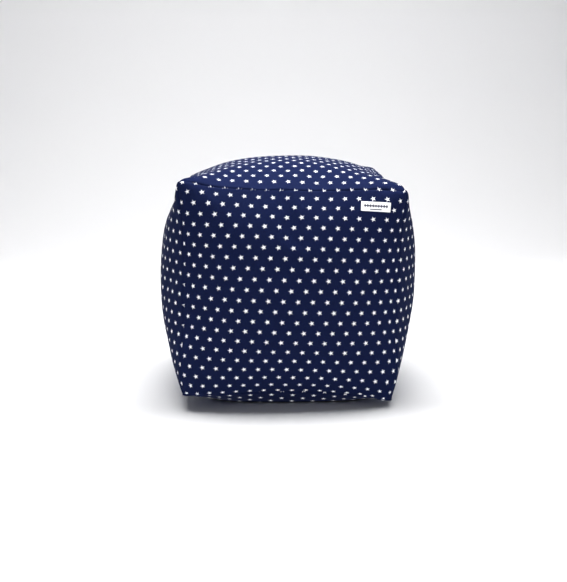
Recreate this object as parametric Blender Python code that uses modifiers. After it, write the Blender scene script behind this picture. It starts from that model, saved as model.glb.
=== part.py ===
"""A stuffed seat cube: six square panels of printed cotton, sewn edge to edge and filled until
they crown, with a small woven label stitched to the front panel near its upper right corner.

Metres, +Z up. The cube stands on the plane z = 0, its front panel faces -Y, and its origin is
the middle of its base. Run with: blender --background --python part.py
"""
import math

import bmesh
import bpy
from mathutils import Matrix, Vector

# Driving dimensions, in metres

PANEL_CUT = 0.400          # side of each square panel between its seams, before filling
BASE_LIFT = 0.0093         # how far the filling holds the lower corners off the ground
CORNER_DRAW = 0.0122       # how far filling rounds each corner inwards
CORNER_DRAW_POWER = 1.5    # how closely that rounding keeps to the corner
TIP_REACH = 0.040          # length of seam over which a corner's tip stands out
SEAM_SINK = 0.0030         # depth of the sewn groove
SEAM_REACH = 0.006         # half width of the sewn groove
ROWS = 22                  # rows of faces across a panel
ROW_GRADING = 0.72         # 0 for even rows, towards 1 for rows crowded at the seams

LABEL_LENGTH = 0.051
LABEL_WIDTH = 0.0165
LABEL_THICKNESS = 0.0010
LABEL_GAP = 0.0004         # between the label and the panel under it
LABEL_CENTRE = (0.144, 0.1655)   # across and up from the middle of the flat front panel
LABEL_TURN = math.radians(-3.0)
LABEL_ROWS = (14, 5)
LABEL_DROP = 0.004         # height over the panel from which the label is laid on it

# Each panel: the axis it faces, which way, the half angle of the arc it bows into (radians),
# and how much of that arc's height its slack gives it

PANELS = {
    "front": (1, -1, 0.67, 0.85),
    "back": (1, 1, 0.69, 0.95),
    "left": (0, -1, 0.70, 1.035),
    "right": (0, 1, 0.72, 1.045),
    "bottom": (2, -1, 0.845, 1.00),
    "top": (2, 1, 0.66, 1.035),
}

# Each corner, by its side in x, y and z: how far the uneven filling leans it, and how far the
# seam allowances inside push its tip, both in metres along x, y and z

CORNERS = {
    (-1, -1, -1): ((-0.008, -0.003, 0.010), (0.006, 0.000, -0.002)),
    (1, -1, -1): ((0.004, 0.010, 0.000), (-0.006, 0.000, -0.010)),
    (-1, -1, 1): ((0.005, -0.015, 0.004), (-0.006, -0.002, 0.008)),
    (1, -1, 1): ((0.011, 0.000, -0.004), (0.002, -0.002, -0.002)),
    (-1, 1, -1): ((-0.007, -0.002, 0.004), (-0.002, 0.003, -0.003)),
    (1, 1, -1): ((0.001, 0.004, 0.002), (0.002, 0.003, 0.002)),
    (-1, 1, 1): ((-0.005, 0.008, -0.002), (0.006, -0.002, -0.014)),
    (1, 1, 1): ((0.014, 0.000, 0.005), (-0.006, 0.003, 0.003)),
}

HALF = PANEL_CUT / 2


def remove_everything():
    """Start from an empty file."""
    for thing in list(bpy.data.objects):
        bpy.data.objects.remove(thing, do_unlink=True)


def new_collection(name):
    """A collection linked to the scene."""
    collection = bpy.data.collections.new(name)
    bpy.context.scene.collection.children.link(collection)
    return collection


def cloth_material(name, colour, roughness, sheen):
    """A plain woven cloth."""
    material = bpy.data.materials.new(name)
    material.use_nodes = True
    shader = material.node_tree.nodes["Principled BSDF"]
    shader.inputs["Base Color"].default_value = (*colour, 1.0)
    shader.inputs["Roughness"].default_value = roughness
    shader.inputs["Metallic"].default_value = 0.0
    shader.inputs["Sheen Weight"].default_value = sheen
    material.diffuse_color = (*colour, 1.0)
    return material


def graded(share):
    """Crowds even shares of a panel, from -1 to 1, towards its seams."""
    return (1 - ROW_GRADING) * share + ROW_GRADING * math.sin(share * math.pi / 2)


def fade(share):
    """How much of a panel's bow is left at this share of the way to its seams."""
    return 1 - share * share


def arc(half_angle, share):
    """A point of a bowed panel: its place across, and its height above the seams."""
    bow = max(half_angle, 1e-4)
    across = math.sin(bow * share) / bow
    height = (math.cos(bow * share) - math.cos(bow)) / bow
    return across, height


def drawn_in(axis, side, share):
    """How far the panel facing that way pulls its own seams towards its middle."""
    for facing, way, half_angle, _ in PANELS.values():
        if (facing, way) == (axis, side):
            return 1 - arc(half_angle * fade(share), 1.0)[0]
    return 0.0


def filled_point(panel, flat):
    """Where a point of the flat cube goes when the cube is filled, in halves of a panel."""
    axis, side, half_angle, fullness = PANELS[panel]
    first, second = [k for k in range(3) if k != axis]
    s, t = flat[first], flat[second]
    across, height_s = arc(half_angle * fade(t), s)
    along, height_t = arc(half_angle * fade(s), t)
    sunk = (1 - s) / 2 * drawn_in(first, -1, t) + (1 + s) / 2 * drawn_in(first, 1, t)
    sunk += (1 - t) / 2 * drawn_in(second, -1, s) + (1 + t) / 2 * drawn_in(second, 1, s)
    point = Vector((0.0, 0.0, 0.0))
    point[first] = across
    point[second] = along
    point[axis] = side * (1 - sunk + fullness * (height_s + height_t) / 2)
    return point


def seam_groove(panel, flat):
    """The inward push of the sewn seams on a point of the flat cube."""
    axis, side, _, _ = PANELS[panel]
    push = Vector((0.0, 0.0, 0.0))
    others = [k for k in range(3) if k != axis]
    for near, along in (others, others[::-1]):
        distance = HALF * (1 - abs(flat[near]))
        depth = SEAM_SINK * math.exp(-((distance / SEAM_REACH) ** 2)) * (1 - flat[along] ** 4)
        push[axis] -= side * depth / math.sqrt(2)
        push[near] -= math.copysign(depth, flat[near]) / math.sqrt(2)
    return push


def uneven_filling(point):
    """How the filling leans, rounds and tips the corners around a point, given in halves."""
    held = Vector([max(-1.2, min(1.2, value)) for value in point])
    shift = Vector((0.0, 0.0, 0.0))
    for corner, (lean, tip) in CORNERS.items():
        weight = 1.0
        for side, value in zip(corner, held):
            weight *= max(0.0, (1 + side * value) / 2)
        shift += weight * Vector(lean)
        distance = HALF * (Vector(corner) - point).length
        shift += math.exp(-((distance / TIP_REACH) ** 2)) * Vector(tip)
    corner_share = 1.0
    for value in held:
        corner_share *= min(1.0, abs(value))
    for k in range(3):
        shift[k] -= math.copysign(CORNER_DRAW * corner_share ** CORNER_DRAW_POWER, point[k])
    return shift


def panel_of(flat):
    """The panel that holds a point of the flat cube."""
    axis = max(range(3), key=lambda k: abs(flat[k]))
    side = 1 if flat[axis] > 0 else -1
    for name, (facing, way, _, _) in PANELS.items():
        if (facing, way) == (axis, side):
            return name
    return "front"


def seated(flat):
    """A point of the flat cube on the filled cube, before it is centred, in metres."""
    panel = panel_of(flat)
    point = filled_point(panel, flat)
    place = HALF * point + seam_groove(panel, flat) + uneven_filling(point)
    place.z = max(0.0, place.z + HALF + BASE_LIFT)
    return place


def make_cube(collection, material):
    """The stuffed body: one closed solid, crowned, drawn in at its seams and flat underneath.

    Gives the cube, and how far it was moved to stand over the origin.
    """
    mesh = bmesh.new()
    bmesh.ops.create_cube(mesh, size=2.0)
    bmesh.ops.subdivide_edges(mesh, edges=mesh.edges[:], cuts=ROWS - 1, use_grid_fill=True)
    for vertex in mesh.verts:
        vertex.co = seated(Vector([graded(value) for value in vertex.co]))
    middle = Vector((0.0, 0.0, 0.0))
    for k in (0, 1):
        low = min(vertex.co[k] for vertex in mesh.verts)
        high = max(vertex.co[k] for vertex in mesh.verts)
        middle[k] = (low + high) / 2
    bmesh.ops.translate(mesh, vec=-middle, verts=mesh.verts[:])
    base = [face for face in mesh.faces if all(vertex.co.z == 0.0 for vertex in face.verts)]
    bmesh.ops.dissolve_faces(mesh, faces=base, use_verts=True)
    bmesh.ops.recalc_face_normals(mesh, faces=mesh.faces[:])
    data = bpy.data.meshes.new("cube")
    mesh.to_mesh(data)
    mesh.free()
    data.shade_smooth()
    data.materials.append(material)
    cube = bpy.data.objects.new("cube", data)
    collection.objects.link(cube)
    return cube, -middle


def label_seat(moved):
    """Where the label's middle lies on the front panel: a matrix with its right, top and out."""
    across, up = LABEL_CENTRE
    flat = Vector((across / HALF, -1.0, up / HALF))
    place = seated(flat)
    right = (seated(flat + Vector((0.01, 0.0, 0.0))) - place).normalized()
    top = seated(flat + Vector((0.0, 0.0, 0.01))) - place
    out = right.cross(top).normalized()
    seat = Matrix((right, out.cross(right), out)).transposed().to_4x4()
    seat.translation = place + moved + out * LABEL_DROP
    return seat


def make_label(collection, material, cube, moved):
    """The woven label: a thin strip that follows the front panel's crown."""
    mesh = bmesh.new()
    columns, rows = LABEL_ROWS
    bmesh.ops.create_grid(mesh, x_segments=columns, y_segments=rows, size=0.5)
    bmesh.ops.scale(mesh, vec=(LABEL_LENGTH, LABEL_WIDTH, 1.0), verts=mesh.verts[:])
    bmesh.ops.rotate(mesh, matrix=Matrix.Rotation(LABEL_TURN, 3, "Z"), verts=mesh.verts[:])
    bmesh.ops.transform(mesh, matrix=label_seat(moved), verts=mesh.verts[:])
    data = bpy.data.meshes.new("label")
    mesh.to_mesh(data)
    mesh.free()
    data.materials.append(material)
    label = bpy.data.objects.new("label", data)
    collection.objects.link(label)
    lay = label.modifiers.new("lay on the panel", "SHRINKWRAP")
    lay.target = cube
    lay.wrap_method = "NEAREST_SURFACEPOINT"
    lay.wrap_mode = "OUTSIDE_SURFACE"
    lay.offset = LABEL_GAP
    thick = label.modifiers.new("ribbon thickness", "SOLIDIFY")
    thick.thickness = LABEL_THICKNESS
    thick.offset = 1.0
    return label


def main():
    """Build the seat cube."""
    remove_everything()
    parts = new_collection("seat_cube")
    navy_cotton = cloth_material("navy_cotton", (0.012, 0.016, 0.080), 0.85, 0.15)
    white_ribbon = cloth_material("white_ribbon", (0.85, 0.85, 0.87), 0.55, 0.05)
    cube, moved = make_cube(parts, navy_cotton)
    make_label(parts, white_ribbon, cube, moved)


main()
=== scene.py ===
import math
from collections import namedtuple

import bmesh
import bpy
import numpy as np
from mathutils import Matrix, Vector, noise
from mathutils.bvhtree import BVHTree


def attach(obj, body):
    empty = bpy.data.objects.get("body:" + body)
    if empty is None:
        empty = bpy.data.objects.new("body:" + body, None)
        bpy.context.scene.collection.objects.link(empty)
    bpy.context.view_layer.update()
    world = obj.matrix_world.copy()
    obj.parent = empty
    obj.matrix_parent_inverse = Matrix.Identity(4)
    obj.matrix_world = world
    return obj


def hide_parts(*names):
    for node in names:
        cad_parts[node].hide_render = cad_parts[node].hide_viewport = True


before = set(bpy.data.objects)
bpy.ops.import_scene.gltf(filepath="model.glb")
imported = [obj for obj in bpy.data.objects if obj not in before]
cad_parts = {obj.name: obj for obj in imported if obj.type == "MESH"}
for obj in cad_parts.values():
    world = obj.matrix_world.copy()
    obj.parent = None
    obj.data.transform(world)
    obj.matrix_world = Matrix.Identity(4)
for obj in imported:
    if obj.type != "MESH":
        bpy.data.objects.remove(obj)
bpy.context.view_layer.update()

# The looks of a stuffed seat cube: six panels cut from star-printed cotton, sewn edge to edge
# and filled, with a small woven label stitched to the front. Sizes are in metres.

# The filled cube, by the same sizes as its solid

PANEL_CUT = 0.400
HALF = PANEL_CUT / 2
BASE_LIFT = 0.0093
CORNER_DRAW = 0.0122
CORNER_DRAW_POWER = 1.5
TIP_REACH = 0.040
FILLING_LIMIT = 1.2          # past this many halves of a panel the filling leans no further

# The print: staggered rows of stars on the cloth

PRINT_REPEAT = 0.0251        # from star to star along a row
PRINT_ROW = 0.0191           # from row to row
PRINT_TURN = math.radians(1.10)
STAR_RADIUS = 0.0053
STAR_NOTCH = 0.36            # the notches' radius as a share of the points' radius
STAR_FIRST_POINT = math.radians(37.3)
STAR_POINTS = 5
PRINT_SPREAD = 0.00025       # how far the ink's edge follows the threads
PRINT_EDGE = 0.00012         # half the softness of that edge

# How a panel lies on the cube and where it was cut from the printed cloth: the axis it faces and
# which way, the half angle it bows through, its share of that bow's height, the axes that run
# across and up it as seen from outside, its place and turn on the cloth, and how closely its print
# is gathered across

Panel = namedtuple(
    "Panel", "axis side bow fullness across across_way up up_way cut_x cut_y turn gather"
)
PANELS = (
    Panel(1, -1, 0.67, 0.85, 0, 1, 2, 1, -0.0147, 0.0081, 0.0, 1.0),     # front
    Panel(1, 1, 0.69, 0.95, 0, -1, 2, 1, 0.0060, 0.0020, 0.0, 1.0),      # back
    Panel(0, -1, 0.70, 1.035, 1, -1, 2, 1, 0.0015, 0.0190, 0.0, 1.0),    # left
    Panel(0, 1, 0.72, 1.045, 1, 1, 2, 1, 0.0165, 0.0360, 0.0, 1.0),      # right
    Panel(2, -1, 0.845, 1.00, 0, 1, 1, -1, 0.0050, 0.0110, 90.0, 1.0),   # bottom
    Panel(2, 1, 0.66, 1.035, 0, 1, 1, 1, -0.0139, 0.4073, 0.0, 1.02),    # top
)

FRONT, BACK, LEFT, RIGHT, BOTTOM, TOP = range(6)

# Cloth eased into a seam: the panel, the panel across the seam, and how much of the print it
# takes up at the seam's start and at its end

SEAM_EASES = (
    (FRONT, TOP, 0.0028, -0.0022),
    (FRONT, BOTTOM, 0.0030, 0.0100),
    (FRONT, LEFT, 0.0038, 0.0038),
    (FRONT, RIGHT, 0.0041, 0.0069),
    (TOP, FRONT, -0.0098, 0.0010),
)
SEAM_EASE_REACH = 0.012

# How far the print shifts, across and up, at the front's upper left corner

CORNER_EASE = (0.0036, -0.0046)
CORNER_EASE_REACH = 0.035

# Each corner, by its side in x, y and z: how far the uneven filling leans it, and how far the
# seam allowances inside push its tip

CORNERS = {
    (-1, -1, -1): ((-0.008, -0.003, 0.010), (0.006, 0.000, -0.002)),
    (1, -1, -1): ((0.004, 0.010, 0.000), (-0.006, 0.000, -0.010)),
    (-1, -1, 1): ((0.005, -0.015, 0.004), (-0.006, -0.002, 0.008)),
    (1, -1, 1): ((0.011, 0.000, -0.004), (0.002, -0.002, -0.002)),
    (-1, 1, -1): ((-0.007, -0.002, 0.004), (-0.002, 0.003, -0.003)),
    (1, 1, -1): ((0.001, 0.004, 0.002), (0.002, 0.003, 0.002)),
    (-1, 1, 1): ((-0.005, 0.008, -0.002), (0.006, -0.002, -0.014)),
    (1, 1, 1): ((0.014, 0.000, 0.005), (-0.006, 0.003, 0.003)),
}

# The cover's mesh and the way it settles

ROWS = 62                    # rows of faces across a panel before the one subdivision
SEAM_ROWS = (0.0, 0.0009, 0.0021, 0.0038, 0.0062, 0.0096, 0.0142)   # first rows from a seam
SETTLE_FRAMES = 20
SETTLE_PRESSURE = 4.0
SETTLE_CAP = 0.006           # furthest that a wrinkle may move a point
SETTLE_SPREAD = 40           # rounds of averaging that tell the wrinkles from the whole shape
PINNED_BELOW = 1e-6          # points lower than this are held while the cloth settles
RESTING_BELOW = 1e-4         # and points lower than this stay flat on the floor
CLOTH_QUALITY = 8
CLOTH_MASS = 0.25
CLOTH_TENSION = 60
CLOTH_COMPRESSION = 30
CLOTH_SHEAR = 20
CLOTH_BENDING = 1.0

# Seams

SEAM_SINK = 0.0028           # depth of the sewn groove
SEAM_REACH = 0.0016          # half width of the groove
PUCKER_LENGTH = 0.015        # from pucker to pucker along a seam
PUCKER_REACH = 0.018         # how far puckers run into a panel
PUCKER_HEIGHT = 0.0013
PUCKER_SLANT = 0.9           # how far puckers lean sideways as they run into a panel
SEAM_HOLD = 0.6              # how much of a pucker the stitches hold flat at the seam
SEAM_HOLD_REACH = 0.003
PUCKER_SLANT_LENGTH = 3 * PUCKER_LENGTH     # from lean to lean along a seam
CORNER_PUFF = 0.010          # how far the filling pushes the cloth out beside an upper corner
PUFF_RISE = 0.009            # how quickly that puff rises from a seam
PUFF_REACH = 0.050           # and how far it runs from the corner
LUMP_LENGTH = 0.075          # size of the soft lumps of the filling
LUMP_HEIGHT = 0.0016

# The label

LABEL_LENGTH = 0.051
LABEL_WIDTH = 0.0165
LABEL_CENTRE = (0.144, 0.1655)
LABEL_TURN = math.radians(-3.0)
RIBBON_THICKNESS = 0.00042
LABEL_FOLD = 0.0065          # length turned under at each end
LABEL_STITCH_INSET = 0.0032
LABEL_MOTIF_STEP = 0.0047    # from one large lozenge of its woven motif to the next
LARGE_LOZENGE = (0.0021, 0.0034)      # half width and half height
SMALL_LOZENGE = (0.0008, 0.0014)
LOZENGE_ROW_UP = 0.0012      # height of their row over the label's middle
LARGE_ROW_REACH = 0.0211
SMALL_ROW_REACH = 0.0190
RULE_UP = -0.0047
RULE_SIZE = (0.0100, 0.0009)          # half length and half width
LABEL_FINDER_LIFT = 0.01     # height from which the panel is looked for
LABEL_CLEARANCE = 0.0003     # between the ribbon and the panel
LABEL_CROWN = 0.0002         # how far its single layer is lifted besides
FOLD_LIFT = 1.15             # from layer to layer of a turned end, in thicknesses
FOLD_SOFTNESS = 0.0007       # length over which the ribbon steps down from its turned end
STITCH_DENT = 0.00022        # how deep the stitches pull the ribbon in
STITCH_DENT_REACH = 0.0008
END_NARROWING = 0.05         # share of the width that the ribbon loses where it turns
END_NARROWING_REACH = 0.0007
RIBBON_ROWS = 13
RIBBON_COLUMNS = 24          # from an end of the label to its middle
STITCHES = 8                 # down each end
STITCH_SHARE = 0.36          # half of a stitch as a share of the step to the next
STITCH_HEIGHT = 2.15         # over the bottom of the ribbon, in thicknesses
STITCH_BURY = 0.0001         # how far the stitches are pulled into it
STITCH_AIM = 0.0005          # step along the label that shows which way a stitch runs
THREAD_RADIUS = 0.00020

# The weaves: the thread spacing of each, how steep a thread's sides are where it runs over and
# under another, and how its tone changes from thread to thread and along it

COTTON_THREAD = 0.00045
RIBBON_THREAD = 0.00022
SEWING_STRAND = 0.00012
OVER_STEEPNESS = 0.45
UNDER_STEEPNESS = 1.6
SLUB_STEP = 0.73
SLUB_STRETCH = 0.045
TONE_RANGE = (0.3, 0.7)

# Bumps, as depth in metres and strength

COTTON_BUMP = (0.00012, 0.55)
CRUMPLE_BUMP = (0.0012, 0.35)
RIBBON_BUMP = (0.00006, 0.5)
STRAND_BUMP = (0.00003, 0.5)
CRUMPLE_SCALE = 55.0
CRUMPLE_DETAIL = 3.0
COTTON_ROUGHNESS = (0.88, 0.76)       # of its darkest and lightest threads
SHEEN_ROUGHNESS = 0.45

# Colours, the darkest and the lightest thread of each cloth

NAVY_THREADS = ((0.0086, 0.0134, 0.0440, 1), (0.0128, 0.0198, 0.0650, 1))
STAR_THREADS = ((0.84, 0.86, 0.90, 1), (0.95, 0.95, 0.95, 1))
RIBBON_THREADS = ((0.80, 0.80, 0.82, 1), (0.90, 0.90, 0.91, 1))
STITCH_THREADS = ((0.72, 0.72, 0.74, 1), (0.90, 0.90, 0.90, 1))
MOTIF_COLOUR = (0.05, 0.055, 0.085, 1)
FLOOR_COLOUR = (0.80, 0.80, 0.81, 1)
SURROUND_COLOUR = (0.93, 0.94, 0.96, 1)
SURROUND_STRENGTH = (0.08, 0.22)      # in the light it gives, and where it is looked at

# The floor, flat as far as its sweep and then rising behind the cube

FLOOR_REACH = 6.0
SWEEP_START = 1.6
SWEEP_RADIUS = 1.2
SWEEP_STEPS = 16
BACKDROP_TOP = 3.5

# The soft lamps, with the point that each faces, its size and its power in watts, and the sun
# that lights the far floor

Lamp = namedtuple("Lamp", "name place aim size power")
OVERHEAD = Lamp("overhead", (0.0, 0.0, 2.4), (0.0, 0.0, 0.2), (2.2, 0.9), 44)
ON_FLOOR = Lamp("floor", (0.0, 0.0, 2.4), (0.0, 0.0, 0.2), (2.2, 0.9), 58)
UPPER_FRONT = Lamp("upper front", (0.0, -0.55, 2.4), (0.0, -0.2, 0.3), (1.8, 0.6), 76)
LOWER_FRONT = Lamp("lower front", (0.0, -2.6, 0.16), (0.0, 0.0, 0.16), (4.2, 0.3), 13)
FLOOR_BOUNCE = Lamp("floor bounce", (0.0, -0.3, 0.003), (0.0, -0.3, 1.0), (4.5, 4.5), 25)
ON_BACKDROP = Lamp("backdrop", (0.0, 1.2, 2.6), (0.0, 3.2, 0.9), (4.0, 0.8), 9)
FAR_FLOOR_STRENGTH = 0.45
FAR_FLOOR_SPREAD = 2.4

# The camera, fitted to the print rows, the seams and the outline of the photograph

CAMERA_PLACE = (-0.0732, -1.8023, 0.5153)
CAMERA_PITCH = math.radians(10.488)
CAMERA_YAW = math.radians(2.107)
CAMERA_LENS = 57.88
SENSOR_WIDTH = 36.0


# Shape of the filled cube


def graded(share):
    """Crowds even shares of a panel, from -1 to 1, towards its seams."""
    even = [1 - 2 * k / ROWS for k in range(len(SEAM_ROWS))] + [0.0]
    crowded = [1 - distance / HALF for distance in SEAM_ROWS] + [0.0]
    return np.sign(share) * np.interp(np.abs(share), even[::-1], crowded[::-1])


def fade(share):
    """How much of a panel's bow is left at this share of the way to its seams."""
    return 1 - share * share


def arc(half_angle, share):
    """A point of a bowed panel: its place across, and its height above the seams."""
    bow = np.maximum(half_angle, 1e-4)
    across = np.sin(bow * share) / bow
    height = (np.cos(bow * share) - np.cos(bow)) / bow
    return across, height


def drawn_in(axis, side, share):
    """How far the panel facing that way pulls its own seams towards its middle."""
    panel = next(p for p in PANELS if (p.axis, p.side) == (axis, side))
    return 1 - arc(panel.bow * fade(share), 1.0)[0]


def owners(flat):
    """The number of the panel that holds each point of the flat cube."""
    axis = np.abs(flat).argmax(axis=1)
    side = np.sign(flat[np.arange(len(flat)), axis])
    found = np.zeros(len(flat), int)
    for number, panel in enumerate(PANELS):
        found[(axis == panel.axis) & (side == panel.side)] = number
    return found


def bowed(panel, flat):
    """Where points of one flat panel go when the cube is filled, in halves of a panel."""
    first, second = [k for k in range(3) if k != panel.axis]
    s, t = flat[:, first], flat[:, second]
    across, height_s = arc(panel.bow * fade(t), s)
    along, height_t = arc(panel.bow * fade(s), t)
    sunk = (1 - s) / 2 * drawn_in(first, -1, t) + (1 + s) / 2 * drawn_in(first, 1, t)
    sunk += (1 - t) / 2 * drawn_in(second, -1, s) + (1 + t) / 2 * drawn_in(second, 1, s)
    points = np.zeros_like(flat)
    points[:, first] = across
    points[:, second] = along
    points[:, panel.axis] = panel.side * (1 - sunk + panel.fullness * (height_s + height_t) / 2)
    return points


def uneven_filling(points):
    """How the filling leans, rounds and tips the corners around points given in halves."""
    held = np.clip(points, -FILLING_LIMIT, FILLING_LIMIT)
    shift = np.zeros_like(points)
    for corner, (lean, tip) in CORNERS.items():
        side = np.array(corner)
        weight = np.maximum(0, (1 + side * held) / 2).prod(axis=1)
        distance = HALF * np.linalg.norm(points - side, axis=1)
        shift += weight[:, None] * np.array(lean)
        shift += np.exp(-((distance / TIP_REACH) ** 2))[:, None] * np.array(tip)
    corner_share = np.minimum(1, np.abs(held)).prod(axis=1) ** CORNER_DRAW_POWER
    return shift - CORNER_DRAW * corner_share[:, None] * np.sign(points)


def near_seam(number, other, flat):
    """Distances of a panel's points from its seam with another panel, and places along it."""
    edge = PANELS[other]
    along = 3 - PANELS[number].axis - edge.axis
    return HALF * (1 - edge.side * flat[:, edge.axis]), flat[:, along]


def filled(flat):
    """Points of the flat cube on the filled cube, in metres, before it is centred."""
    owner = owners(flat)
    points = np.zeros_like(flat)
    for number, panel in enumerate(PANELS):
        points[owner == number] = bowed(panel, flat[owner == number])
    places = HALF * points + uneven_filling(points)
    places[:, 2] = np.maximum(0, places[:, 2] + HALF + BASE_LIFT)
    return places


# Meshes and their points


def places_of(mesh):
    """A mesh's vertices as an array of places."""
    places = np.zeros(len(mesh.vertices) * 3)
    mesh.vertices.foreach_get("co", places)
    return places.reshape(-1, 3)


def move_to(mesh, places):
    """Puts a mesh's vertices at these places."""
    mesh.vertices.foreach_set("co", np.ascontiguousarray(places, np.float32).ravel())
    mesh.update()


def normals_of(mesh):
    """A mesh's vertex normals as an array."""
    normals = np.zeros(len(mesh.vertices) * 3, np.float32)
    mesh.vertex_normals.foreach_get("vector", normals)
    return normals.reshape(-1, 3).astype(float)


def shown(name, mesh, *materials):
    """A piece of the cube, with its materials."""
    piece = bpy.data.objects.new(name, mesh)
    bpy.context.scene.collection.objects.link(piece)
    for material in materials:
        mesh.materials.append(material)
    return piece


# The cover


def flat_cube():
    """The six panels as cut, sewn into a cube with corners at 1 and -1, its seams creased."""
    shape = bmesh.new()
    bmesh.ops.create_cube(shape, size=2.0)
    crease = shape.edges.layers.float.new("crease_edge")
    for edge in shape.edges:
        edge[crease] = 1.0
    bmesh.ops.subdivide_edges(shape, edges=shape.edges[:], cuts=ROWS - 1, use_grid_fill=True)
    for edge in shape.edges:
        middle = (edge.verts[0].co + edge.verts[1].co) / 2
        on_seam = sum(abs(value) > 1 - 1e-5 for value in middle) == 2
        edge[crease] = 1.0 if on_seam else 0.0
    mesh = bpy.data.meshes.new("cover")
    shape.to_mesh(mesh)
    shape.free()
    move_to(mesh, graded(places_of(mesh)))
    mesh.shade_smooth()
    return mesh


def lay_on_cloth(mesh, flat):
    """Maps each panel to its own place on the printed cloth, in metres."""
    corners = np.zeros(len(mesh.loops), np.int64)
    mesh.loops.foreach_get("vertex_index", corners)
    sizes = np.zeros(len(mesh.polygons), np.int64)
    mesh.polygons.foreach_get("loop_total", sizes)
    starts = np.concatenate([[0], np.cumsum(sizes)[:-1]])
    middles = np.add.reduceat(flat[corners], starts, axis=0) / sizes[:, None]
    owner = np.repeat(owners(middles), sizes)
    cloth = np.zeros((len(corners), 2), np.float32)
    for number, panel in enumerate(PANELS):
        held = owner == number
        flat_here = flat[corners[held]]
        at = flat_here * HALF
        for eased, other, start, end in SEAM_EASES:
            if eased == number:
                distance, along = near_seam(number, other, flat_here)
                ease = (start * (1 - along) + end * (1 + along)) / 2
                ease = ease * np.exp(-((distance / SEAM_EASE_REACH) ** 2))
                at[:, PANELS[other].axis] += PANELS[other].side * ease
        if number == FRONT:
            from_corner = HALF * np.hypot(flat_here[:, 0] + 1, flat_here[:, 2] - 1)
            share = np.exp(-((from_corner / CORNER_EASE_REACH) ** 2))
            at[:, 0] -= CORNER_EASE[0] * share
            at[:, 2] -= CORNER_EASE[1] * share
        x = panel.across_way * at[:, panel.across] * panel.gather - panel.cut_x
        y = panel.up_way * at[:, panel.up] + panel.cut_y
        turn = PRINT_TURN + math.radians(panel.turn)
        cloth[held, 0] = math.cos(turn) * x - math.sin(turn) * y
        cloth[held, 1] = math.sin(turn) * x + math.cos(turn) * y
    layer = mesh.uv_layers.new(name="cloth")
    layer.uv.foreach_set("vector", cloth.ravel())


def spread_out(mesh, values):
    """The smooth part of values at a mesh's vertices, averaged again and again with neighbours."""
    ends = np.zeros(len(mesh.edges) * 2, np.int64)
    mesh.edges.foreach_get("vertices", ends)
    ends = np.concatenate([ends.reshape(-1, 2), ends.reshape(-1, 2)[:, ::-1]])
    count = len(mesh.vertices)
    neighbours = np.bincount(ends[:, 0], minlength=count)
    for _ in range(SETTLE_SPREAD):
        for k in range(3):
            total = np.bincount(ends[:, 0], weights=values[ends[:, 1], k], minlength=count)
            values[:, k] = (total + values[:, k]) / (neighbours + 1)
    return values


def settle(cover, flat):
    """Lets the cloth settle over its filling, held to its cut size, and keeps its wrinkles."""
    started = places_of(cover.data)
    cover.shape_key_add(name="filled")
    cut = cover.shape_key_add(name="cut")
    cut.data.foreach_set("co", np.ascontiguousarray(flat * HALF, np.float32).ravel())
    resting = cover.vertex_groups.new(name="resting")
    resting.add(np.nonzero(started[:, 2] < PINNED_BELOW)[0].tolist(), 1.0, "REPLACE")
    cloth = cover.modifiers.new("settle", "CLOTH")
    cloth.settings.quality = CLOTH_QUALITY
    cloth.settings.mass = CLOTH_MASS
    cloth.settings.tension_stiffness = CLOTH_TENSION
    cloth.settings.compression_stiffness = CLOTH_COMPRESSION
    cloth.settings.shear_stiffness = CLOTH_SHEAR
    cloth.settings.bending_stiffness = CLOTH_BENDING
    cloth.settings.use_pressure = True
    cloth.settings.uniform_pressure_force = SETTLE_PRESSURE
    cloth.settings.effector_weights.gravity = 0
    cloth.settings.vertex_group_mass = resting.name
    cloth.settings.rest_shape_key = cut
    cloth.collision_settings.use_collision = False
    cloth.point_cache.frame_start = 1
    cloth.point_cache.frame_end = SETTLE_FRAMES
    for step in range(1, SETTLE_FRAMES + 1):
        bpy.context.scene.frame_set(step)
    shaped = cover.evaluated_get(bpy.context.evaluated_depsgraph_get())
    settled = places_of(shaped.to_mesh())
    shaped.to_mesh_clear()
    cover.modifiers.remove(cloth)
    cover.shape_key_clear()
    bpy.context.scene.frame_set(1)
    move = settled - started
    move -= spread_out(cover.data, move.copy())
    length = np.linalg.norm(move, axis=1, keepdims=True)
    capped = SETTLE_CAP * np.tanh(length / SETTLE_CAP)
    return started + move * capped / np.maximum(length, 1e-9)


def subdivided(cover, flat):
    """The cover with one subdivision, and its points of the flat cube."""
    store = cover.data.attributes.new("flat", "FLOAT_VECTOR", "POINT")
    store.data.foreach_set("vector", np.ascontiguousarray(flat, np.float32).ravel())
    smooth = cover.modifiers.new("smooth", "SUBSURF")
    smooth.levels = 1
    smooth.render_levels = 1
    smooth.uv_smooth = "NONE"
    shaped = cover.evaluated_get(bpy.context.evaluated_depsgraph_get())
    mesh = bpy.data.meshes.new_from_object(shaped)
    cover.modifiers.remove(smooth)
    cover.data = mesh
    fine = np.zeros(len(mesh.vertices) * 3, np.float32)
    mesh.attributes["flat"].data.foreach_get("vector", fine)
    mesh.attributes.remove(mesh.attributes["flat"])
    return fine.reshape(-1, 3).astype(float)


def ripple(places, length, seed):
    """Soft random waves of about this length at each place, from -1 to 1."""
    offset = Vector((seed * 7.3, seed * 3.1, seed * 5.7))
    return np.array([noise.noise(Vector(at) / length + offset) for at in places])


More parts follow.
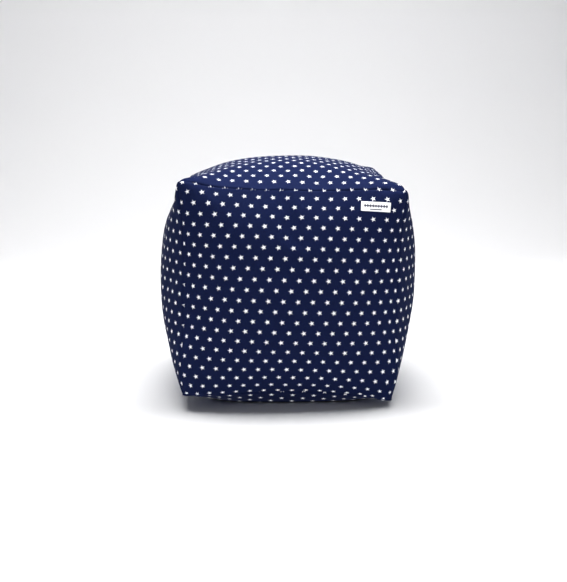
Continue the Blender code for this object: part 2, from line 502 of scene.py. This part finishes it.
def sew(mesh, flat):
    """Sinks the seams into grooves, puckers the cloth beside them and softens the filling."""
    places = places_of(mesh)
    normals = normals_of(mesh)
    owner = owners(flat)
    push = np.zeros_like(places)
    rise = LUMP_HEIGHT * ripple(places, LUMP_LENGTH, 1)
    for number, panel in enumerate(PANELS):
        held = np.nonzero(owner == number)[0]
        others = [k for k in range(3) if k != panel.axis]
        apart = HALF * (1 - np.abs(flat[held][:, others]))
        puff = (1 - np.exp(-apart / PUFF_RISE)).prod(axis=1)
        puff = puff * np.exp(-apart.sum(axis=1) / PUFF_REACH)
        rise[held] += CORNER_PUFF * puff * np.clip(flat[held, 2], 0, 1)
        for near, along in (others, others[::-1]):
            distance = HALF * (1 - np.abs(flat[held, near]))
            side = np.sign(flat[held, near])
            depth = SEAM_SINK * np.exp(-distance / SEAM_REACH) * (1 - flat[held, along] ** 8)
            push[held, panel.axis] -= panel.side * depth / math.sqrt(2)
            push[held, near] -= side * depth / math.sqrt(2)
            seam = flat[held] * HALF
            seam[:, near] = side * HALF
            seam[:, along] += PUCKER_SLANT * distance * ripple(seam, PUCKER_SLANT_LENGTH, 3)
            close = np.exp(-distance / PUCKER_REACH)
            close = close * (1 - SEAM_HOLD * np.exp(-distance / SEAM_HOLD_REACH))
            rise[held] += PUCKER_HEIGHT * close * ripple(seam, PUCKER_LENGTH, 2)
    resting = places[:, 2] < RESTING_BELOW
    places = places + push + normals * rise[:, None]
    places[:, 2] = np.maximum(0, places[:, 2])
    places[resting, 2] = 0
    move_to(mesh, places)


def make_cover(cotton):
    """The filled cover, its cloth settled and its seams sewn. Also where the label goes."""
    mesh = flat_cube()
    flat = places_of(mesh)
    lay_on_cloth(mesh, flat)
    places = filled(flat)
    middle = (places.min(axis=0) + places.max(axis=0)) / 2 * (1, 1, 0)
    places -= middle
    move_to(mesh, places)
    cover = shown("stuffed_cover", mesh, cotton)
    move_to(mesh, settle(cover, flat))
    fine = subdivided(cover, flat)
    sew(cover.data, fine)
    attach(cover, "root")
    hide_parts("cube")
    across, up = LABEL_CENTRE
    return cover, filled(np.array([[across / HALF, -1.0, up / HALF]]))[0] - middle


# The label


def surface_under(cover, start):
    """A finder of places over the cover: across, up and out from the label's middle."""
    tree = BVHTree.FromPolygons(
        [vertex.co for vertex in cover.data.vertices],
        [tuple(face.vertices) for face in cover.data.polygons],
    )
    middle = tree.find_nearest(Vector(start))
    normal = middle[1]
    right = Vector((1, 0, 0))
    right = (right - right.dot(normal) * normal).normalized()
    turn = Matrix.Rotation(LABEL_TURN, 3, normal)
    right = turn @ right
    top = normal.cross(right)

    def at(x, y, height):
        from_here = middle[0] + right * x + top * y + normal * LABEL_FINDER_LIFT
        place, facing, _, _ = tree.ray_cast(from_here, -normal)
        return place + facing.lerp(normal, 0.5).normalized() * height

    return at


def ribbon_path():
    """The ribbon's middle line, from one folded end to the other: place along and height."""
    gap = LABEL_CLEARANCE + RIBBON_THICKNESS / 2
    lift = RIBBON_THICKNESS * FOLD_LIFT
    end = LABEL_LENGTH / 2
    fold = [(-end + LABEL_FOLD * (1 - k / 5), gap) for k in range(5)]
    turn = []
    for k in range(1, 6):
        angle = math.pi * k / 6
        x = -end - lift / 2 * math.sin(angle) + lift / 2
        turn.append((x, gap + lift / 2 * (1 - math.cos(angle))))
    top = []
    for k in range(RIBBON_COLUMNS + 1):
        x = -end + lift / 2 + (end - lift / 2) * k / RIBBON_COLUMNS
        over = 1 / (1 + math.exp((x + end - LABEL_FOLD) / FOLD_SOFTNESS))
        from_stitch = (x + end - LABEL_STITCH_INSET) / STITCH_DENT_REACH
        stitch = STITCH_DENT * math.exp(-(from_stitch ** 2))
        top.append((x, gap + lift * over - stitch + LABEL_CROWN * (1 - over)))
    half = fold + turn + top
    return half + [(-x, height) for x, height in half[-2::-1]]


def make_label(cover, start, ribbon, thread):
    """The woven label, its ends turned under and stitched through to the front panel."""
    at = surface_under(cover, start)
    path = ribbon_path()
    shape = bmesh.new()
    print_map = shape.loops.layers.uv.new("label")
    grid = []
    for x, height in path:
        line = []
        from_end = (LABEL_LENGTH / 2 - abs(x)) / END_NARROWING_REACH
        narrowed = 1 - END_NARROWING * math.exp(-from_end)
        for k in range(RIBBON_ROWS):
            y = LABEL_WIDTH * narrowed * (k / (RIBBON_ROWS - 1) - 0.5)
            line.append(shape.verts.new(at(x, y, height)))
        grid.append(line)
    along = [0.0]
    for (x0, h0), (x1, h1) in zip(path, path[1:]):
        along.append(along[-1] + math.hypot(x1 - x0, h1 - h0))
    total = along[-1]
    for i in range(len(path) - 1):
        for k in range(RIBBON_ROWS - 1):
            corners = ((i, k), (i + 1, k), (i + 1, k + 1), (i, k + 1))
            face = shape.faces.new([grid[a][b] for a, b in corners])
            for loop, (a, b) in zip(face.loops, corners):
                up = LABEL_WIDTH * (b / (RIBBON_ROWS - 1) - 0.5)
                loop[print_map].uv = (along[a] - total / 2, up)
    mesh = bpy.data.meshes.new("sewn_label")
    shape.to_mesh(mesh)
    shape.free()
    mesh.shade_smooth()
    label = shown("sewn_label", mesh, ribbon)
    thick = label.modifiers.new("ribbon thickness", "SOLIDIFY")
    thick.thickness = RIBBON_THICKNESS
    thick.offset = 0.0
    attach(label, "root")
    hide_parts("label")
    stitches = make_stitches(at, thread)
    return label, stitches


def make_stitches(at, thread):
    """Short stitches down both ends of the label."""
    height = LABEL_CLEARANCE + STITCH_HEIGHT * RIBBON_THICKNESS - STITCH_BURY
    length = LABEL_WIDTH / STITCHES * STITCH_SHARE
    shape = bmesh.new()
    for end in (-1, 1):
        x = end * (LABEL_LENGTH / 2 - LABEL_STITCH_INSET)
        for k in range(STITCHES):
            y = LABEL_WIDTH * ((k + 0.5) / STITCHES - 0.5)
            place = at(x, y, height)
            above = at(x, y + STITCH_AIM, height)
            made = bmesh.ops.create_uvsphere(
                shape, u_segments=10, v_segments=8, radius=THREAD_RADIUS
            )
            spin = (above - place).to_track_quat("Z", "Y").to_matrix()
            for vertex in made["verts"]:
                vertex.co.z *= length / THREAD_RADIUS
                vertex.co = place + spin @ vertex.co
    mesh = bpy.data.meshes.new("label_stitches")
    shape.to_mesh(mesh)
    shape.free()
    mesh.shade_smooth()
    stitches = shown("label_stitches", mesh, thread)
    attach(stitches, "root")
    return stitches


# Shader building


def value_into(tree, socket, value):
    """Links an output to a socket, or sets the socket to a plain value."""
    if isinstance(value, bpy.types.NodeSocket):
        tree.links.new(value, socket)
    else:
        socket.default_value = value


def calc(tree, operation, *values):
    """A Math node on these values, and its result."""
    node = tree.nodes.new("ShaderNodeMath")
    node.operation = operation
    for socket, value in zip(node.inputs, values):
        value_into(tree, socket, value)
    return node.outputs[0]


def blend_colours(tree, share, first, second):
    """A mix of two colours."""
    node = tree.nodes.new("ShaderNodeMix")
    node.data_type = "RGBA"
    value_into(tree, node.inputs[0], share)
    value_into(tree, node.inputs[6], first)
    value_into(tree, node.inputs[7], second)
    return node.outputs[2]


def ramp(tree, value, low, high, to_low, to_high, smooth=False):
    """A value moved from one range to another, and held inside it."""
    node = tree.nodes.new("ShaderNodeMapRange")
    node.interpolation_type = "SMOOTHSTEP" if smooth else "LINEAR"
    value_into(tree, node.inputs["Value"], value)
    ends = {"From Min": low, "From Max": high, "To Min": to_low, "To Max": to_high}
    for name, number in ends.items():
        value_into(tree, node.inputs[name], number)
    return node.outputs[0]


def across_and_up(tree, name):
    """The two coordinates of a surface on its cloth, in metres."""
    place = tree.nodes.new("ShaderNodeUVMap")
    place.uv_map = name
    split = tree.nodes.new("ShaderNodeSeparateXYZ")
    tree.links.new(place.outputs[0], split.inputs[0])
    return split.outputs[0], split.outputs[1]


def raised(tree, height, distance, strength, under=None):
    """A Bump node on a height, over another normal if one is given."""
    node = tree.nodes.new("ShaderNodeBump")
    node.inputs["Strength"].default_value = strength
    node.inputs["Distance"].default_value = distance
    tree.links.new(height, node.inputs["Height"])
    if under is not None:
        tree.links.new(under, node.inputs["Normal"])
    return node.outputs[0]


def new_group(name, inputs, outputs):
    """An empty shader node group with number sockets, its inputs' and outputs' sockets."""
    group = bpy.data.node_groups.new(name, "ShaderNodeTree")
    for label, value in inputs:
        socket = group.interface.new_socket(label, in_out="INPUT", socket_type="NodeSocketFloat")
        socket.default_value = value
    for label in outputs:
        group.interface.new_socket(label, in_out="OUTPUT", socket_type="NodeSocketFloat")
    into = group.nodes.new("NodeGroupInput")
    out = group.nodes.new("NodeGroupOutput")
    return group, into.outputs, out.inputs


def plain_weave():
    """Over-and-under threads: their height, and a tone that changes from thread to thread."""
    group, given, result = new_group(
        "plain weave",
        (("Across", 0.0), ("Up", 0.0), ("Thread", 0.0004)),
        ("Height", "Tone"),
    )
    warp = calc(group, "DIVIDE", given["Across"], given["Thread"])
    weft = calc(group, "DIVIDE", given["Up"], given["Thread"])
    warp_number = calc(group, "FLOOR", warp)
    weft_number = calc(group, "FLOOR", weft)
    warp_wave = calc(group, "SINE", calc(group, "MULTIPLY", warp, math.pi))
    weft_wave = calc(group, "SINE", calc(group, "MULTIPLY", weft, math.pi))
    warp_swell = calc(group, "ABSOLUTE", warp_wave)
    weft_swell = calc(group, "ABSOLUTE", weft_wave)
    over = calc(group, "FLOORED_MODULO", calc(group, "ADD", warp_number, weft_number), 2.0)
    warp_power = ramp(group, over, 0.0, 1.0, OVER_STEEPNESS, UNDER_STEEPNESS)
    weft_power = ramp(group, over, 0.0, 1.0, UNDER_STEEPNESS, OVER_STEEPNESS)
    height = calc(
        group,
        "MULTIPLY",
        calc(group, "POWER", warp_swell, warp_power),
        calc(group, "POWER", weft_swell, weft_power),
    )
    tones = []
    for number, along in ((warp_number, weft), (weft_number, warp)):
        spread = group.nodes.new("ShaderNodeCombineXYZ")
        group.links.new(calc(group, "MULTIPLY", number, SLUB_STEP), spread.inputs[0])
        group.links.new(calc(group, "MULTIPLY", along, SLUB_STRETCH), spread.inputs[1])
        slub = group.nodes.new("ShaderNodeTexNoise")
        slub.noise_dimensions = "2D"
        slub.inputs["Scale"].default_value = 1.0
        slub.inputs["Detail"].default_value = 1.0
        group.links.new(spread.outputs[0], slub.inputs["Vector"])
        tones.append(slub.outputs[0])
    tone = calc(group, "MULTIPLY", calc(group, "ADD", tones[0], tones[1]), 0.5)
    group.links.new(height, result["Height"])
    group.links.new(tone, result["Tone"])
    return group


def woven(tree, weave, across, up, thread):
    """The plain weave at this place, with threads of this size: height and tone."""
    node = tree.nodes.new("ShaderNodeGroup")
    node.node_tree = weave
    tree.links.new(across, node.inputs["Across"])
    tree.links.new(up, node.inputs["Up"])
    node.inputs["Thread"].default_value = thread
    return node.outputs["Height"], node.outputs["Tone"]


def star_mask(tree, across, up, weave_height):
    """1 inside the printed stars and 0 outside, with edges as rough as the threads."""
    row = calc(tree, "DIVIDE", up, PRINT_ROW)
    row_number = calc(tree, "ROUND", row)
    y = calc(tree, "MULTIPLY", calc(tree, "SUBTRACT", row, row_number), PRINT_ROW)
    stagger = calc(tree, "MULTIPLY", row_number, 0.5)
    column = calc(tree, "SUBTRACT", calc(tree, "DIVIDE", across, PRINT_REPEAT), stagger)
    column_share = calc(tree, "SUBTRACT", column, calc(tree, "ROUND", column))
    x = calc(tree, "MULTIPLY", column_share, PRINT_REPEAT)
    radius = calc(
        tree,
        "SQRT",
        calc(tree, "ADD", calc(tree, "MULTIPLY", x, x), calc(tree, "MULTIPLY", y, y)),
    )
    sector = math.pi / STAR_POINTS
    angle = calc(tree, "ADD", calc(tree, "ARCTAN2", y, x), sector - STAR_FIRST_POINT)
    turned = calc(tree, "FLOORED_MODULO", angle, 2 * sector)
    folded = calc(tree, "ABSOLUTE", calc(tree, "SUBTRACT", turned, sector))
    tip = np.array([STAR_RADIUS, 0.0])
    notch = STAR_RADIUS * STAR_NOTCH * np.array([math.cos(sector), math.sin(sector)])
    edge = notch - tip
    facing = np.array([edge[1], -edge[0]]) / np.linalg.norm(edge)
    out = calc(tree, "MULTIPLY", radius, calc(tree, "COSINE", folded))
    side = calc(tree, "MULTIPLY", radius, calc(tree, "SINE", folded))
    past_tip = calc(tree, "MULTIPLY", calc(tree, "SUBTRACT", out, STAR_RADIUS), float(facing[0]))
    past_edge = calc(tree, "ADD", past_tip, calc(tree, "MULTIPLY", side, float(facing[1])))
    rough = calc(tree, "MULTIPLY", calc(tree, "SUBTRACT", weave_height, 0.5), PRINT_SPREAD)
    beyond = calc(tree, "SUBTRACT", past_edge, rough)
    return ramp(tree, beyond, -PRINT_EDGE, PRINT_EDGE, 1.0, 0.0, smooth=True)


def new_material(name, roughness, sheen, specular):
    """A material, its node tree and its shader, with its plain values set."""
    material = bpy.data.materials.new(name)
    material.use_nodes = True
    shader = material.node_tree.nodes["Principled BSDF"]
    shader.inputs["Roughness"].default_value = roughness
    shader.inputs["Sheen Weight"].default_value = sheen
    shader.inputs["Sheen Roughness"].default_value = SHEEN_ROUGHNESS
    shader.inputs["Specular IOR Level"].default_value = specular
    return material, material.node_tree, shader


def printed_cotton(weave):
    """Navy plain-weave cotton printed with white stars."""
    material, tree, shader = new_material("printed cotton", 0.85, 0.01, 0.03)
    across, up = across_and_up(tree, "cloth")
    height, tone = woven(tree, weave, across, up, COTTON_THREAD)
    stars = star_mask(tree, across, up, height)
    shade = ramp(tree, tone, *TONE_RANGE, 0.0, 1.0)
    navy = blend_colours(tree, shade, *NAVY_THREADS)
    white = blend_colours(tree, height, *STAR_THREADS)
    tree.links.new(blend_colours(tree, stars, navy, white), shader.inputs["Base Color"])
    roughness = ramp(tree, shade, 0.0, 1.0, *COTTON_ROUGHNESS)
    tree.links.new(roughness, shader.inputs["Roughness"])
    crumple = tree.nodes.new("ShaderNodeTexNoise")
    crumple.inputs["Scale"].default_value = CRUMPLE_SCALE
    crumple.inputs["Detail"].default_value = CRUMPLE_DETAIL
    place = tree.nodes.new("ShaderNodeTexCoord")
    tree.links.new(place.outputs["Object"], crumple.inputs["Vector"])
    soft = raised(tree, crumple.outputs[0], *CRUMPLE_BUMP)
    threads = raised(tree, height, *COTTON_BUMP, under=soft)
    tree.links.new(threads, shader.inputs["Normal"])
    return material


def band(tree, value, middle, half_width):
    """1 within this distance of a place along one coordinate."""
    away = calc(tree, "ABSOLUTE", calc(tree, "SUBTRACT", value, middle))
    return calc(tree, "LESS_THAN", away, half_width)


def lozenges(tree, across, up, start, half_width, half_height):
    """1 inside a row of lozenges, one to each step of the label's motif."""
    place = calc(tree, "ADD", calc(tree, "DIVIDE", across, LABEL_MOTIF_STEP), start)
    from_nearest = calc(tree, "SUBTRACT", place, calc(tree, "ROUND", place))
    from_nearest = calc(tree, "ABSOLUTE", from_nearest)
    wide = calc(tree, "MULTIPLY", from_nearest, LABEL_MOTIF_STEP / half_width)
    high = calc(tree, "DIVIDE", calc(tree, "ABSOLUTE", up), half_height)
    return calc(tree, "LESS_THAN", calc(tree, "ADD", wide, high), 1.0)


def label_ribbon(weave):
    """White satin ribbon with a woven row of small lozenges over a short rule."""
    material, tree, shader = new_material("label ribbon", 0.5, 0.1, 0.4)
    across, up = across_and_up(tree, "label")
    height, tone = woven(tree, weave, across, up, RIBBON_THREAD)
    reach = calc(tree, "ABSOLUTE", across)
    high = calc(tree, "SUBTRACT", up, LOZENGE_ROW_UP)
    large = lozenges(tree, across, high, 0.0, *LARGE_LOZENGE)
    large = calc(tree, "MULTIPLY", large, band(tree, reach, 0.0, LARGE_ROW_REACH))
    small = lozenges(tree, across, high, 0.5, *SMALL_LOZENGE)
    small = calc(tree, "MULTIPLY", small, band(tree, reach, 0.0, SMALL_ROW_REACH))
    motif = calc(tree, "MAXIMUM", large, small)
    rule_length, rule_width = RULE_SIZE
    rule = band(tree, reach, 0.0, rule_length)
    rule = calc(tree, "MULTIPLY", band(tree, up, RULE_UP, rule_width), rule)
    drawn = calc(tree, "MAXIMUM", rule, motif)
    shade = ramp(tree, tone, *TONE_RANGE, 0.0, 1.0)
    white = blend_colours(tree, shade, *RIBBON_THREADS)
    colour = blend_colours(tree, drawn, white, MOTIF_COLOUR)
    tree.links.new(colour, shader.inputs["Base Color"])
    tree.links.new(raised(tree, height, *RIBBON_BUMP), shader.inputs["Normal"])
    return material


def sewing_thread(weave):
    """White sewing thread."""
    material, tree, shader = new_material("sewing thread", 0.6, 0.2, 0.3)
    place = tree.nodes.new("ShaderNodeTexCoord")
    split = tree.nodes.new("ShaderNodeSeparateXYZ")
    tree.links.new(place.outputs["Object"], split.inputs[0])
    height, tone = woven(tree, weave, split.outputs[0], split.outputs[2], SEWING_STRAND)
    colour = blend_colours(tree, tone, *STITCH_THREADS)
    tree.links.new(colour, shader.inputs["Base Color"])
    tree.links.new(raised(tree, height, *STRAND_BUMP), shader.inputs["Normal"])
    return material


# Stage


def make_floor():
    """A plain pale floor that sweeps up behind the cube."""
    profile = [(-FLOOR_REACH, 0.0), (SWEEP_START, 0.0)]
    for k in range(1, SWEEP_STEPS + 1):
        angle = math.pi / 2 * k / SWEEP_STEPS
        back = SWEEP_START + SWEEP_RADIUS * math.sin(angle)
        profile.append((back, SWEEP_RADIUS * (1 - math.cos(angle))))
    profile.append((SWEEP_START + SWEEP_RADIUS, BACKDROP_TOP))
    shape = bmesh.new()
    previous = None
    for y, z in profile:
        pair = [shape.verts.new((x, y, z)) for x in (-FLOOR_REACH, FLOOR_REACH)]
        if previous:
            shape.faces.new((previous[0], previous[1], pair[1], pair[0]))
        previous = pair
    mesh = bpy.data.meshes.new("floor")
    shape.to_mesh(mesh)
    shape.free()
    mesh.shade_smooth()
    material, _, shader = new_material("pale floor", 0.7, 0.0, 0.2)
    shader.inputs["Base Color"].default_value = FLOOR_COLOUR
    floor = shown("floor", mesh, material)
    return floor


def hang_lamp(name, kind, power, only_on=()):
    """A lamp whose light, if pieces are given, is kept to them."""
    lamp = bpy.data.lights.new(name, kind)
    lamp.energy = power
    holder = bpy.data.objects.new(name, lamp)
    bpy.context.scene.collection.objects.link(holder)
    if only_on:
        lit = bpy.data.collections.new(name + " lights")
        for piece in only_on:
            lit.objects.link(piece)
        holder.light_linking.receiver_collection = lit
    return holder


def soft_lamp(lamp, only_on=()):
    """A soft oblong lamp that faces a point."""
    holder = hang_lamp(lamp.name, "AREA", lamp.power, only_on)
    holder.data.shape = "RECTANGLE"
    holder.data.size, holder.data.size_y = lamp.size
    holder.location = lamp.place
    facing = Vector(lamp.aim) - Vector(lamp.place)
    holder.rotation_euler = facing.to_track_quat("-Z", "Y").to_euler()
    return holder


def light_scene(pieces, floor):
    """Lamps over, in front of and under the cube, others for the floor, and a surround."""
    soft_lamp(OVERHEAD)
    soft_lamp(ON_FLOOR, (floor,))
    far_floor = hang_lamp("far floor", "SUN", FAR_FLOOR_STRENGTH, (floor,))
    far_floor.data.angle = FAR_FLOOR_SPREAD
    soft_lamp(UPPER_FRONT, pieces)
    soft_lamp(LOWER_FRONT, pieces)
    bounce = soft_lamp(FLOOR_BOUNCE, pieces)
    bounce.visible_camera = False
    soft_lamp(ON_BACKDROP)
    bpy.context.scene.world = surround()


def surround():
    """A pale surround, brighter where it is looked at than in the light it gives."""
    world = bpy.data.worlds.new("surround")
    world.use_nodes = True
    tree = world.node_tree
    background = tree.nodes["Background"]
    background.inputs["Color"].default_value = SURROUND_COLOUR
    seen = tree.nodes.new("ShaderNodeLightPath").outputs["Is Camera Ray"]
    strength = ramp(tree, seen, 0.0, 1.0, *SURROUND_STRENGTH)
    tree.links.new(strength, background.inputs["Strength"])
    return world


def make_camera():
    """The camera, at the photograph's place."""
    lens = bpy.data.cameras.new("camera")
    lens.lens = CAMERA_LENS
    lens.sensor_width = SENSOR_WIDTH
    lens.sensor_fit = "AUTO"
    camera = bpy.data.objects.new("camera", lens)
    bpy.context.scene.collection.objects.link(camera)
    camera.location = CAMERA_PLACE
    camera.rotation_euler = (math.pi / 2 - CAMERA_PITCH, 0, -CAMERA_YAW)
    bpy.context.scene.camera = camera


bpy.context.scene.view_settings.view_transform = "Standard"
bpy.context.scene.view_settings.look = "Medium High Contrast"
weave = plain_weave()
cover, label_middle = make_cover(printed_cotton(weave))
label, stitches = make_label(cover, label_middle, label_ribbon(weave), sewing_thread(weave))
light_scene((cover, label, stitches), make_floor())
make_camera()
